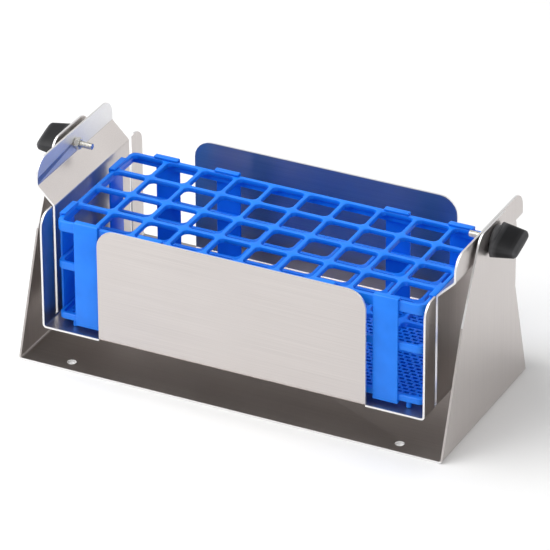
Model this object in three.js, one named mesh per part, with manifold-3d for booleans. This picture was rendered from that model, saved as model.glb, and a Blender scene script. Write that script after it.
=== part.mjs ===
// Adjustable-angle holder for one test-tube rack.
//
// A bent-sheet base bracket stands on its floor plate and raises two ears. A bent-sheet cradle hangs
// between the ears on two threaded studs, and swings about them until the wing knobs are tightened.
// A snap-together plastic rack with three tiers stands loose in the cradle.
//
// Millimetres. +X runs along the pivot axis, +Y to the rear and +Z up. The origin is on the underside
// of the base, straight below the pivot axis.

import * as THREE from 'three';
import { mergeVertices } from 'three/addons/utils/BufferGeometryUtils.js';
import Module from 'manifold-3d';

const wasm = await Module();
wasm.setup();

// ---------------------------------------------------------------- driving dimensions

// Sheet metal
const SHEET = 1.5;             // thickness of both bent sheets
const BEND_RADIUS = 1.5;       // inside radius of every bend
const GAP = 0.3;               // clearance left between neighbouring pieces

// Rack
const RACK_ROWS = 4;
const RACK_COLUMNS = 10;
const CELL_PITCH = 28.9;
const GRID_BAR = 3;            // width of a bar between two cells
const CELL_RADIUS = 4.5;
const RACK_CORNER_RADIUS = 5;
const RACK_HEIGHT = 86;        // feet to the top face of the top grid
const TOP_RIM_HEIGHT = 8;
const MIDDLE_RIM_HEIGHT = 6;
const GRID_BAR_HEIGHT = 4;
const MIDDLE_GRID_TOP = 53;    // above the feet
const SHELF_UNDERSIDE = 5.6;   // above the feet
const SHELF_RIM_HEIGHT = 5;
const SHELF_FLOOR = 2;
const FOOT_DIAMETER = 4;
const STRIP_WIDTH = 19.5;
const STRIP_THICKNESS = 1.6;
const STRIP_HOOK = 3.5;        // reach of a strip's hooks over and under the tiers
const STRIP_HOOK_THICKNESS = 1.8;
const STRIP_TOP_RADIUS = 1;
const LONG_SIDE_STRIP_CELLS = [0.95, 2.68, 7.43, 9.19]; // strip centres, in cells from one end
const SHORT_SIDE_STRIP_CELLS = [0.6, 3.2];

// Cradle
const RACK_ROOM = { left: 6.1, right: 1.1, front: 3.6, rear: 27 }; // between the rack and the walls
const FINGER_WIDTH = 17;       // narrow upright on each side of an end wall
const SLIT_WIDTH = 3.5;        // between an end wall and the finger beside it
const PLATE_INSET = 46.25;     // from an end wall's outer face to the front plate's edge
const PLATE_ABOVE_RACK = 4.5;
const PLATE_CORNER_RADIUS = 14;
const FINGER_CORNER_RADIUS = 11;
const JOGGLE_ABOVE_RACK = 3;   // where an end wall starts to lean out
const JOGGLE_OFFSET = 13.5;    // how far the flange stands out from the end wall
const FLANGE_HEIGHT = 19;      // upright part above the joggle
const FLANGE_CORNER_RADIUS = 13;
const PIVOT_ABOVE_JOGGLE = 8;

// Pivot hardware
const STUD_DIAMETER = 5;
const STUD_INSIDE = 14;        // how far a stud stands in from the flange
const STUD_IN_KNOB = 14;
const NUT_WALL = 1.2;          // from the nut's hole to its flats
const NUT_THICKNESS = 4;
const WASHER_DIAMETER = 16;
const WASHER_THICKNESS = 1.4;
const KNOB_LENGTH = 21.5;      // along the pivot axis
const KNOB_COLLAR_DIAMETER = 22;
const KNOB_COLLAR_THICKNESS = 3;
const KNOB_COLLAR_OVERLAP = 0.5; // how far the wing starts inside the collar
const KNOB_INNER = { width: 31, thickness: 14 }; // section of the wing where it meets the collar
const KNOB_OUTER = { width: 27, thickness: 9 };  // section of the wing at its free end
const KNOB_EDGE = 1.3;         // bevel round the wing's free end
const KNOB_SQUARENESS = 0.5;   // exponent of the wing's section; 1 would be an ellipse
const KNOB_TURN = { left: 18, right: 17 };       // degrees, rear edge up

// Base bracket
const SWING_CLEARANCE = 1.5;   // under the cradle's lower edges as they swing past the floor plate
const BASE_FRONT = -84.5;      // front edge of the floor plate, from the pivot axis
const BASE_REAR = 61;          // rear edge of the floor plate, from the pivot axis
const EAR_ABOVE_PIVOT = 13.5;
const EAR_TOP_HALF_WIDTH = 23.5;
const EAR_TOP_RADIUS = 11;
const EAR_FRONT_KINK = { out: 52, drop: 45, radius: 20 };   // front edge, from the pivot
const EAR_REAR_SHOULDER = { out: 37, drop: 35, radius: 4 }; // rear edge, where the neck starts
const EAR_REAR_KINK = { out: 38, drop: 55, radius: 4 };     // rear edge, where the flare starts
const SCREW_HOLE_DIAMETER = 7;
const SCREW_HOLE_EDGE = 10.5;  // hole centre to the front or rear edge
const SCREW_HOLE_INSET = 38;   // hole centre to the ear's outer face

// Tools that cut run this far past what they cut, and pieces that join run this far into each other
const OVERRUN = 1;

// ---------------------------------------------------------------- derived dimensions

const GRID_LENGTH = RACK_COLUMNS * CELL_PITCH + GRID_BAR;
const GRID_WIDTH = RACK_ROWS * CELL_PITCH + GRID_BAR;
const STRIP_STANDS_OUT = GAP + STRIP_THICKNESS;
const RACK_LENGTH = GRID_LENGTH + 2 * STRIP_STANDS_OUT;
const RACK_WIDTH = GRID_WIDTH + 2 * STRIP_STANDS_OUT;
const RACK_X = (RACK_ROOM.left - RACK_ROOM.right) / 2;
const RACK_Y = (RACK_ROOM.front - RACK_ROOM.rear) / 2;

const CRADLE_LENGTH = RACK_LENGTH + RACK_ROOM.left + RACK_ROOM.right + 2 * SHEET;
const CRADLE_DEPTH = RACK_WIDTH + RACK_ROOM.front + RACK_ROOM.rear + 2 * SHEET;
const END_WALL_WIDTH = CRADLE_DEPTH - 2 * (FINGER_WIDTH + SLIT_WIDTH);
const PLATE_WIDTH = CRADLE_LENGTH - 2 * PLATE_INSET;
const PLATE_HEIGHT = SHEET + RACK_HEIGHT + PLATE_ABOVE_RACK;
const JOGGLE_START = SHEET + RACK_HEIGHT + JOGGLE_ABOVE_RACK;
const PIVOT_ABOVE_CRADLE = JOGGLE_START + JOGGLE_OFFSET + PIVOT_ABOVE_JOGGLE;

const SWING_RADIUS = Math.hypot(CRADLE_DEPTH / 2, PIVOT_ABOVE_CRADLE);
const PIVOT_HEIGHT = SHEET + SWING_RADIUS + SWING_CLEARANCE;
const CRADLE_UNDERSIDE = PIVOT_HEIGHT - PIVOT_ABOVE_CRADLE;
const CRADLE_FLOOR = CRADLE_UNDERSIDE + SHEET;
const FLANGE_TOP = CRADLE_UNDERSIDE + JOGGLE_START + JOGGLE_OFFSET + FLANGE_HEIGHT;
const FLANGE_OUTER = CRADLE_LENGTH / 2 + JOGGLE_OFFSET;
const FLANGE_INNER = FLANGE_OUTER - SHEET;
const EAR_INNER = FLANGE_OUTER + WASHER_THICKNESS + 2 * GAP;
const EAR_OUTER = EAR_INNER + SHEET;
const STUD_HOLE = STUD_DIAMETER + 2 * GAP;
const NUT_ACROSS_FLATS = STUD_HOLE + 2 * NUT_WALL;
const KNOB_INNER_END = EAR_OUTER + GAP;

// ---------------------------------------------------------------- materials

function material(color, roughness, metalness) {
  return new THREE.MeshStandardMaterial({ color, roughness, metalness });
}

const stainless = material(0xc9c5c1, 0.38, 1);
const brightSteel = material(0xd6d4ce, 0.25, 1);
const blackPlastic = material(0x242427, 0.5, 0);
const whiteNylon = material(0xd9d9d6, 0.6, 0);
const bluePlastic = material(0x1f73f0, 0.35, 0);

// ---------------------------------------------------------------- solids

// A closed three.js geometry as a solid that can be joined and cut.
function solid(geometry) {
  const bare = geometry.index ? geometry.toNonIndexed() : geometry.clone();
  bare.deleteAttribute('normal');
  bare.deleteAttribute('uv');
  const merged = mergeVertices(bare, 1e-4);
  return new wasm.Manifold(new wasm.Mesh({
    numProp: 3,
    vertProperties: new Float32Array(merged.attributes.position.array),
    triVerts: new Uint32Array(merged.index.array),
  }));
}

function geometryOf(manifold) {
  const mesh = manifold.getMesh();
  const geometry = new THREE.BufferGeometry();
  geometry.setAttribute('position', new THREE.BufferAttribute(new Float32Array(mesh.vertProperties), 3));
  geometry.setIndex(new THREE.BufferAttribute(new Uint32Array(mesh.triVerts), 1));
  return geometry;
}

function piece(name, manifold, finish) {
  const mesh = new THREE.Mesh(geometryOf(manifold), finish);
  mesh.name = name;
  return mesh;
}

function unionOf(solids) {
  return solids.reduce((sum, next) => sum.add(next));
}

function box(x0, x1, y0, y1, z0, z1) {
  const geometry = new THREE.BoxGeometry(x1 - x0, y1 - y0, z1 - z0);
  geometry.translate((x0 + x1) / 2, (y0 + y1) / 2, (z0 + z1) / 2);
  return solid(geometry);
}

// An outline in the plane across one axis, extruded along that axis from low to high.
// Across X the outline's two coordinates are (y, z), across Y they are (x, z), across Z (x, y).
const OUTLINE_FRAMES = {
  x: [[0, 1, 0], [0, 0, 1], [1, 0, 0]],
  y: [[1, 0, 0], [0, 0, 1], [0, -1, 0]],
  z: [[1, 0, 0], [0, 1, 0], [0, 0, 1]],
};

function extruded(shape, axis, low, high, curveSegments = 3) {
  const geometry = new THREE.ExtrudeGeometry(shape, {
    depth: high - low,
    bevelEnabled: false,
    steps: 1,
    curveSegments,
  });
  const [first, second, along] = OUTLINE_FRAMES[axis].map((v) => new THREE.Vector3(...v));
  geometry.applyMatrix4(new THREE.Matrix4().makeBasis(first, second, along));
  const start = axis === 'y' ? -high : low;
  geometry.translate(...along.clone().multiplyScalar(start).toArray());
  return solid(geometry);
}

// A closed outline through corners, each [u, v, radius], with its corners rounded.
function roundedOutline(corners) {
  const shape = new THREE.Shape();
  const count = corners.length;
  corners.forEach(([u, v, radius = 0], i) => {
    const corner = new THREE.Vector2(u, v);
    const before = new THREE.Vector2(...corners[(i + count - 1) % count].slice(0, 2));
    const after = new THREE.Vector2(...corners[(i + 1) % count].slice(0, 2));
    const back = before.sub(corner).normalize();
    const ahead = after.sub(corner).normalize();
    const half = Math.acos(THREE.MathUtils.clamp(back.dot(ahead), -1, 1)) / 2;
    const setback = radius / Math.tan(half);
    const enter = corner.clone().addScaledVector(back, setback);
    const leave = corner.clone().addScaledVector(ahead, setback);
    if (i === 0) {
      shape.moveTo(enter.x, enter.y);
    } else {
      shape.lineTo(enter.x, enter.y);
    }
    if (radius > 0) {
      const middle = back.clone().add(ahead).normalize();
      const centre = corner.clone().addScaledVector(middle, radius / Math.sin(half));
      const from = Math.atan2(enter.y - centre.y, enter.x - centre.x);
      const to = Math.atan2(leave.y - centre.y, leave.x - centre.x);
      shape.absarc(centre.x, centre.y, radius, from, to, back.cross(ahead) > 0);
    }
  });
  shape.closePath();
  return shape;
}

function rectangle(u0, u1, v0, v1, radius = 0) {
  return roundedOutline([[u0, v0, radius], [u1, v0, radius], [u1, v1, radius], [u0, v1, radius]]);
}

// A bar of round section along one axis.
function rod(axis, diameter, low, high, [u, v], sides = 24) {
  const circle = new THREE.Shape();
  circle.absarc(u, v, diameter / 2, 0, 2 * Math.PI, false);
  return extruded(circle, axis, low, high, sides / 2);
}

// The outline of a bent sheet: a centre line of points, thickened to both sides, its bends rounded.
function sheetOutline(points) {
  const offset = SHEET / 2;
  const places = points.map(([u, v]) => new THREE.Vector2(u, v));
  const directions = places.slice(1).map((place, i) => place.clone().sub(places[i]).normalize());
  function side(sign) {
    return points.map(([u, v], i) => {
      const before = directions[Math.max(i - 1, 0)];
      const after = directions[Math.min(i, directions.length - 1)];
      const normal = new THREE.Vector2(-before.y - after.y, before.x + after.x).normalize();
      const reach = offset / normal.dot(new THREE.Vector2(-before.y, before.x));
      const isEnd = i === 0 || i === points.length - 1;
      const turnsAway = before.cross(after) * sign < 0;
      const radius = turnsAway ? BEND_RADIUS + SHEET : BEND_RADIUS;
      return [u + sign * normal.x * reach, v + sign * normal.y * reach, isEnd ? 0 : radius];
    });
  }
  return roundedOutline([...side(-1), ...side(1).reverse()]);
}

// ---------------------------------------------------------------- base bracket

// One sheet: a floor plate with an ear bent up at each end. The ears carry the pivot.
function baseBracket() {
  const middle = EAR_OUTER - SHEET / 2;
  const top = PIVOT_HEIGHT + EAR_ABOVE_PIVOT;
  const reach = EAR_OUTER + OVERRUN;
  const holeX = EAR_OUTER - SCREW_HOLE_INSET;
  const channel = extruded(sheetOutline([
    [-middle, top],
    [-middle, SHEET / 2],
    [middle, SHEET / 2],
    [middle, top],
  ]), 'y', BASE_FRONT, BASE_REAR);
  const sideView = extruded(roundedOutline([
    [BASE_FRONT, 0],
    [BASE_REAR, 0],
    [BASE_REAR, SHEET],
    [EAR_REAR_KINK.out, PIVOT_HEIGHT - EAR_REAR_KINK.drop, EAR_REAR_KINK.radius],
    [EAR_REAR_SHOULDER.out, PIVOT_HEIGHT - EAR_REAR_SHOULDER.drop, EAR_REAR_SHOULDER.radius],
    [EAR_TOP_HALF_WIDTH, top, EAR_TOP_RADIUS],
    [-EAR_TOP_HALF_WIDTH, top, EAR_TOP_RADIUS],
    [-EAR_FRONT_KINK.out, PIVOT_HEIGHT - EAR_FRONT_KINK.drop, EAR_FRONT_KINK.radius],
    [BASE_FRONT, SHEET],
  ]), 'x', -reach, reach);
  let bracket = channel.intersect(sideView);
  bracket = bracket.subtract(rod('x', STUD_HOLE, -reach, reach, [0, PIVOT_HEIGHT]));
  for (const x of [-holeX, holeX]) {
    for (const y of [BASE_FRONT + SCREW_HOLE_EDGE, BASE_REAR - SCREW_HOLE_EDGE]) {
      bracket = bracket.subtract(rod('z', SCREW_HOLE_DIAMETER, -OVERRUN, SHEET + OVERRUN, [x, y]));
    }
  }
  return piece('base_bracket', bracket, stainless);
}

// ---------------------------------------------------------------- cradle

// One sheet: a floor, a plate bent up at the front and at the rear, and at each end a wall that leans
// out at 45 degrees and then stands upright again as a flange. A narrow finger stands on each side of
// an end wall.
function endWallSection() {
  const middle = CRADLE_LENGTH / 2 - SHEET / 2;
  const out = middle + JOGGLE_OFFSET;
  const leanFrom = CRADLE_UNDERSIDE + JOGGLE_START;
  const leanTo = leanFrom + JOGGLE_OFFSET;
  return sheetOutline([
    [-out, FLANGE_TOP],
    [-out, leanTo],
    [-middle, leanFrom],
    [-middle, CRADLE_UNDERSIDE + SHEET / 2],
    [middle, CRADLE_UNDERSIDE + SHEET / 2],
    [middle, leanFrom],
    [out, leanTo],
    [out, FLANGE_TOP],
  ]);
}

function fingerSection() {
  const middle = CRADLE_LENGTH / 2 - SHEET / 2;
  const top = CRADLE_UNDERSIDE + PLATE_HEIGHT;
  return sheetOutline([
    [-middle, top],
    [-middle, CRADLE_UNDERSIDE + SHEET / 2],
    [middle, CRADLE_UNDERSIDE + SHEET / 2],
    [middle, top],
  ]);
}

function cradleTray() {
  const half = CRADLE_DEPTH / 2;
  const wall = END_WALL_WIDTH / 2;
  const finger = wall + SLIT_WIDTH;
  const top = CRADLE_UNDERSIDE + PLATE_HEIGHT;
  const bendTop = CRADLE_FLOOR + BEND_RADIUS;
  const reach = FLANGE_OUTER + OVERRUN;
  const wallView = extruded(roundedOutline([
    [-wall, CRADLE_UNDERSIDE],
    [wall, CRADLE_UNDERSIDE],
    [wall, FLANGE_TOP, FLANGE_CORNER_RADIUS],
    [-wall, FLANGE_TOP, FLANGE_CORNER_RADIUS],
  ]), 'x', -reach, reach);
  let cradle = extruded(endWallSection(), 'y', -wall, wall).intersect(wallView);
  for (const side of [-1, 1]) {
    const near = Math.min(side * finger, side * half);
    const far = Math.max(side * finger, side * half);
    const fingerView = extruded(roundedOutline([
      [side * finger, CRADLE_UNDERSIDE],
      [side * half, CRADLE_UNDERSIDE],
      [side * half, top, FINGER_CORNER_RADIUS],
      [side * finger, top],
    ]), 'x', -reach, reach);
    cradle = cradle.add(extruded(fingerSection(), 'y', near, far).intersect(fingerView));
    cradle = cradle.add(slitFloor(side, bendTop));
    cradle = withPlate(cradle, side);
  }
  cradle = cradle.subtract(rod('x', STUD_HOLE, -reach, reach, [0, PIVOT_HEIGHT]));
  return piece('cradle_tray', cradle, stainless);
}

// The floor runs on under each slit, up to the end of the bend.
function slitFloor(side, bendTop) {
  const wall = END_WALL_WIDTH / 2;
  const near = side * (wall - OVERRUN);
  const far = side * (wall + SLIT_WIDTH + OVERRUN);
  const from = Math.min(near, far);
  const to = Math.max(near, far);
  const strip = extruded(fingerSection(), 'y', from, to);
  const reach = CRADLE_LENGTH / 2 + OVERRUN;
  return strip.intersect(box(-reach, reach, from, to, CRADLE_UNDERSIDE, bendTop));
}

// The front or rear plate, with its bend, takes the place of the floor's square edge.
function withPlate(cradle, side) {
  const half = CRADLE_DEPTH / 2;
  const middle = half - SHEET / 2;
  const top = CRADLE_UNDERSIDE + PLATE_HEIGHT;
  const inner = half - SHEET - BEND_RADIUS - OVERRUN;
  const bottom = CRADLE_UNDERSIDE - OVERRUN;
  const section = sheetOutline([
    [side * inner, CRADLE_UNDERSIDE + SHEET / 2],
    [side * middle, CRADLE_UNDERSIDE + SHEET / 2],
    [side * middle, top],
  ]);
  const frontView = roundedOutline([
    [-PLATE_WIDTH / 2, bottom],
    [PLATE_WIDTH / 2, bottom],
    [PLATE_WIDTH / 2, top, PLATE_CORNER_RADIUS],
    [-PLATE_WIDTH / 2, top, PLATE_CORNER_RADIUS],
  ]);
  const low = Math.min(side * inner, side * (half + OVERRUN));
  const high = Math.max(side * inner, side * (half + OVERRUN));
  const edge = box(-PLATE_WIDTH / 2, PLATE_WIDTH / 2, low, high, bottom, CRADLE_FLOOR + OVERRUN);
  const plate = extruded(section, 'x', -PLATE_WIDTH / 2, PLATE_WIDTH / 2)
    .intersect(extruded(frontView, 'y', low, high));
  return cradle.subtract(edge).add(plate);
}

// ---------------------------------------------------------------- pivot hardware

// On each side: a wing knob moulded on a threaded stud, outside the ear; a nylon washer between the ear
// and the flange; and a nut clinched to the inside of the flange.
function washer(side) {
  const low = side * (FLANGE_OUTER + GAP);
  const high = side * (EAR_INNER - GAP);
  const disc = rod('x', WASHER_DIAMETER, Math.min(low, high), Math.max(low, high), [0, PIVOT_HEIGHT]);
  return disc.subtract(rod('x', STUD_HOLE, -EAR_OUTER, EAR_OUTER, [0, PIVOT_HEIGHT]));
}

function nut(side) {
  const near = side * (FLANGE_INNER - GAP);
  const far = side * (FLANGE_INNER - GAP - NUT_THICKNESS);
  const corner = NUT_ACROSS_FLATS / 2 / Math.cos(Math.PI / 6);
  const hexagon = new THREE.Shape(Array.from({ length: 6 }, (_, i) => new THREE.Vector2(
    corner * Math.cos(i * Math.PI / 3),
    PIVOT_HEIGHT + corner * Math.sin(i * Math.PI / 3),
  )));
  const body = extruded(hexagon, 'x', Math.min(near, far), Math.max(near, far));
  return body.subtract(rod('x', STUD_HOLE, -EAR_OUTER, EAR_OUTER, [0, PIVOT_HEIGHT]));
}

function stud(side) {
  const inside = side * (FLANGE_INNER - STUD_INSIDE);
  const outside = side * (KNOB_INNER_END + STUD_IN_KNOB);
  return rod('x', STUD_DIAMETER, Math.min(inside, outside), Math.max(inside, outside), [0, PIVOT_HEIGHT]);
}

// The wing is a rounded bar section that narrows from the collar to its bevelled free end.
function knobWing() {
  const sides = 24;
  const rings = 6;
  const start = KNOB_COLLAR_THICKNESS - KNOB_COLLAR_OVERLAP;
  const stations = [];
  for (let i = 0; i < rings; i += 1) {
    const along = i / (rings - 1);
    stations.push({
      x: THREE.MathUtils.lerp(start, KNOB_LENGTH - KNOB_EDGE, along),
      a: THREE.MathUtils.lerp(KNOB_INNER.width, KNOB_OUTER.width, along) / 2,
      b: THREE.MathUtils.lerp(KNOB_INNER.thickness, KNOB_OUTER.thickness, along) / 2,
    });
  }
  stations.push({
    x: KNOB_LENGTH,
    a: KNOB_OUTER.width / 2 - KNOB_EDGE,
    b: KNOB_OUTER.thickness / 2 - KNOB_EDGE,
  });
  const positions = [];
  for (const { x, a, b } of stations) {
    for (let k = 0; k < sides; k += 1) {
      const angle = 2 * Math.PI * k / sides;
      const c = Math.cos(angle);
      const s = Math.sin(angle);
      const y = a * Math.sign(c) * Math.abs(c) ** KNOB_SQUARENESS;
      const z = b * Math.sign(s) * Math.abs(s) ** KNOB_SQUARENESS;
      positions.push(x, y, z);
    }
  }
  const faces = [];
  for (let i = 0; i < rings; i += 1) {
    for (let k = 0; k < sides; k += 1) {
      const next = (k + 1) % sides;
      const p = i * sides + k;
      const q = i * sides + next;
      faces.push(p, q, p + sides, q, q + sides, p + sides);
    }
  }
  const last = rings * sides;
  for (let k = 1; k < sides - 1; k += 1) {
    faces.push(0, k + 1, k);
    faces.push(last, last + k, last + k + 1);
  }
  const geometry = new THREE.BufferGeometry();
  geometry.setAttribute('position', new THREE.Float32BufferAttribute(positions, 3));
  geometry.setIndex(faces);
  return geometry;
}

function knob(side, turn) {
  const wing = knobWing();
  const place = new THREE.Matrix4().makeTranslation(side * KNOB_INNER_END, 0, PIVOT_HEIGHT)
    .multiply(new THREE.Matrix4().makeRotationX(THREE.MathUtils.degToRad(turn)));
  if (side < 0) {
    place.multiply(new THREE.Matrix4().makeRotationZ(Math.PI));
  }
  wing.applyMatrix4(place);
  const low = Math.min(side * KNOB_INNER_END, side * (KNOB_INNER_END + KNOB_COLLAR_THICKNESS));
  const collar = rod('x', KNOB_COLLAR_DIAMETER, low, low + KNOB_COLLAR_THICKNESS, [0, PIVOT_HEIGHT]);
  const boreEnd = side * (KNOB_INNER_END + STUD_IN_KNOB + GAP);
  const boreStart = side * (KNOB_INNER_END - OVERRUN);
  const boreLow = Math.min(boreStart, boreEnd);
  const boreHigh = Math.max(boreStart, boreEnd);
  const bore = rod('x', STUD_HOLE, boreLow, boreHigh, [0, PIVOT_HEIGHT]);
  return collar.add(solid(wing)).subtract(bore);
}

// ---------------------------------------------------------------- rack

// Three moulded tiers, a top grid, a middle grid and a shelf, held apart by flat strips that
// hook over the top grid and under the shelf. Everything here is in the rack's own frame: centred in
// X and Y, with Z from its feet.
function tierOutline() {
  return rectangle(-GRID_LENGTH / 2, GRID_LENGTH / 2, -GRID_WIDTH / 2, GRID_WIDTH / 2, RACK_CORNER_RADIUS);
}

function cellCentres() {
  const centres = [];
  for (let column = 0; column < RACK_COLUMNS; column += 1) {
    for (let row = 0; row < RACK_ROWS; row += 1) {
      centres.push([
        (column + 0.5 - RACK_COLUMNS / 2) * CELL_PITCH,
        (row + 0.5 - RACK_ROWS / 2) * CELL_PITCH,
      ]);
    }
  }
  return centres;
}

// A tier's plate cut through by every cell.
function gridBars(z0, z1) {
  const half = (CELL_PITCH - GRID_BAR) / 2;
  const cells = cellCentres().map(([x, y]) => {
    const cell = rectangle(x - half, x + half, y - half, y + half, CELL_RADIUS);
    return extruded(cell, 'z', z0 - OVERRUN, z1 + OVERRUN, 1);
  });
  return extruded(tierOutline(), 'z', z0, z1, 1).subtract(unionOf(cells));
}

function rimRing(z0, z1) {
  const halfLength = GRID_LENGTH / 2 - GRID_BAR;
  const halfWidth = GRID_WIDTH / 2 - GRID_BAR;
  const inside = rectangle(-halfLength, halfLength, -halfWidth, halfWidth, CELL_RADIUS);
  const space = extruded(inside, 'z', z0 - OVERRUN, z1 + OVERRUN, 1);
  return extruded(tierOutline(), 'z', z0, z1, 1).subtract(space);
}

// A grid of open cells whose rim is deeper than its bars.
function openGrid(top, rimHeight) {
  return gridBars(top - GRID_BAR_HEIGHT, top).add(rimRing(top - rimHeight, top - GRID_BAR_HEIGHT / 2));
}

function bottomShelf() {
  const floor = extruded(tierOutline(), 'z', SHELF_UNDERSIDE, SHELF_UNDERSIDE + SHELF_FLOOR, 1);
  const rim = rimRing(SHELF_UNDERSIDE + SHELF_FLOOR / 2, SHELF_UNDERSIDE + SHELF_RIM_HEIGHT);
  const feet = [];
  const cellsFromMiddle = LONG_SIDE_STRIP_CELLS.map((cells) => Math.abs(cells - RACK_COLUMNS / 2));
  const outermostStrip = Math.max(...cellsFromMiddle);
  const footX = outermostStrip * CELL_PITCH + STRIP_WIDTH / 2 + 2 * GAP + FOOT_DIAMETER / 2;
  const footY = GRID_WIDTH / 2 - FOOT_DIAMETER / 2 - GRID_BAR / 2;
  for (const x of [-footX, 0, footX]) {
    for (const y of [-footY, footY]) {
      feet.push(rod('z', FOOT_DIAMETER, GAP, SHELF_UNDERSIDE + SHELF_FLOOR / 2, [x, y], 12));
    }
  }
  return unionOf([floor, rim, ...feet]);
}

// A strip's section, outwards from the tier's edge: a tall web with a hook at each end.
function stripSection() {
  const lowHook = SHELF_UNDERSIDE - GAP - STRIP_HOOK_THICKNESS;
  const highHook = RACK_HEIGHT + GAP + STRIP_HOOK_THICKNESS;
  return roundedOutline([
    [-STRIP_HOOK, lowHook],
    [STRIP_THICKNESS, lowHook],
    [STRIP_THICKNESS, highHook, STRIP_TOP_RADIUS],
    [-STRIP_HOOK, highHook],
    [-STRIP_HOOK, highHook - STRIP_HOOK_THICKNESS],
    [0, highHook - STRIP_HOOK_THICKNESS],
    [0, lowHook + STRIP_HOOK_THICKNESS],
    [-STRIP_HOOK, lowHook + STRIP_HOOK_THICKNESS],
  ]);
}

// A strip with its web against the edge whose outward direction is at the given angle.
function strip(name, edgeDistance, outwardAngle, along) {
  const web = extruded(stripSection(), 'y', along - STRIP_WIDTH / 2, along + STRIP_WIDTH / 2, 1);
  const mesh = piece(name, web, bluePlastic);
  mesh.geometry.translate(edgeDistance, 0, 0);
  mesh.geometry.rotateZ(outwardAngle);
  return mesh;
}

function rackStrips() {
  const strips = [];
  LONG_SIDE_STRIP_CELLS.forEach((cells, i) => {
    const x = (cells - RACK_COLUMNS / 2) * CELL_PITCH;
    strips.push(strip(`rear_strip_${i + 1}`, GRID_WIDTH / 2 + GAP, Math.PI / 2, -x));
    strips.push(strip(`front_strip_${i + 1}`, GRID_WIDTH / 2 + GAP, -Math.PI / 2, -x));
  });
  SHORT_SIDE_STRIP_CELLS.forEach((cells, i) => {
    const y = (cells - RACK_ROWS / 2) * CELL_PITCH;
    strips.push(strip(`left_strip_${i + 1}`, GRID_LENGTH / 2 + GAP, Math.PI, -y));
    strips.push(strip(`right_strip_${i + 1}`, GRID_LENGTH / 2 + GAP, 0, -y));
  });
  return strips;
}

function rack() {
  const group = new THREE.Group();
  group.add(piece('rack_top_grid', openGrid(RACK_HEIGHT, TOP_RIM_HEIGHT), bluePlastic));
  group.add(piece('rack_middle_grid', openGrid(MIDDLE_GRID_TOP, MIDDLE_RIM_HEIGHT), bluePlastic));
  group.add(piece('rack_bottom_shelf', bottomShelf(), bluePlastic));
  group.add(...rackStrips());
  group.position.set(RACK_X, RACK_Y, CRADLE_FLOOR);
  return group;
}

// ---------------------------------------------------------------- assembly

const holder = new THREE.Group();
holder.add(baseBracket());
holder.add(cradleTray());
for (const [name, side] of [['left', -1], ['right', 1]]) {
  holder.add(piece(`${name}_washer`, washer(side), whiteNylon));
  holder.add(piece(`${name}_clinch_nut`, nut(side), brightSteel));
  holder.add(piece(`${name}_stud`, stud(side), brightSteel));
  holder.add(piece(`${name}_wing_knob`, knob(side, KNOB_TURN[name]), blackPlastic));
}
holder.add(rack());

export default holder;
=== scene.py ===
import math

import bmesh
import bpy
from mathutils import Matrix, Vector
from mathutils.bvhtree import BVHTree


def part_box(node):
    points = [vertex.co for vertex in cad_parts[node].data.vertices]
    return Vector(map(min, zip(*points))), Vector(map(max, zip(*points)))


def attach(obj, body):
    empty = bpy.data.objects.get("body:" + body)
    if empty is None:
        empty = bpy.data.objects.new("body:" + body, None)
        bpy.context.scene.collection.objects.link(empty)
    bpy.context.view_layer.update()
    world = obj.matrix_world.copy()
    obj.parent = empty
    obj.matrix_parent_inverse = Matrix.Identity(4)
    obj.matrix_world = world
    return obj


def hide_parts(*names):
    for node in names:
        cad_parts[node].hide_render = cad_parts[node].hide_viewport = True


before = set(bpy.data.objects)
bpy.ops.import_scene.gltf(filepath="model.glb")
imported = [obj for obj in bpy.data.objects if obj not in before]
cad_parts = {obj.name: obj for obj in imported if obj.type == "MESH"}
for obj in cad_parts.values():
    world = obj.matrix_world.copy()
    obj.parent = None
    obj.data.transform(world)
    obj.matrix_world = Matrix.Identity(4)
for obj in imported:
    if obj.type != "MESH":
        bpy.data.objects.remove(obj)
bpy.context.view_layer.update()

scene = bpy.context.scene
scene.view_settings.view_transform = "Standard"

# ---------------------------------------------------------------- camera
# A long lens seen from the front right, a little under a third of the way up, so that the edges of
# the sheet metal stay nearly parallel. The camera is turned a touch about its own line of sight.

VIEW_AZIMUTH = math.radians(26.51)
VIEW_ELEVATION = math.radians(29.12)
VIEW_ROLL = math.radians(-0.32)
VIEW_DISTANCE = 3.654
VIEW_TARGET = Vector((-0.0154, 0.0252, 0.0527))
FOCAL_LENGTH = 327.3
SENSOR_WIDTH = 36.0

toward_camera = Vector((
    math.sin(VIEW_AZIMUTH) * math.cos(VIEW_ELEVATION),
    -math.cos(VIEW_AZIMUTH) * math.cos(VIEW_ELEVATION),
    math.sin(VIEW_ELEVATION),
))
camera = bpy.data.objects.new("camera", bpy.data.cameras.new("camera"))
camera.data.lens = FOCAL_LENGTH
camera.data.sensor_width = SENSOR_WIDTH
camera.data.clip_start = 0.1
camera.data.clip_end = 50.0
camera.rotation_mode = "QUATERNION"
camera.rotation_quaternion = (
    (-toward_camera).to_track_quat("-Z", "Y") @ Matrix.Rotation(VIEW_ROLL, 3, "Z").to_quaternion()
)
camera.location = VIEW_TARGET + toward_camera * VIEW_DISTANCE
scene.collection.objects.link(camera)
scene.camera = camera

# ---------------------------------------------------------------- floor and light
# A wide pale table top, a bright surround, one large soft lamp from the upper left, and weaker ones
# from the right and from behind, so that the shadows are soft and fall to the right.

FLOOR_HALF_SIZE = 6.0
FLOOR_DROP = 0.0002             # below the base, so that no two faces lie in one plane
SURROUND_LEVEL = 0.72           # brightness at the horizon
SURROUND_OVERHEAD = 0.22        # and straight up, where a studio's ceiling is dark


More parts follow.
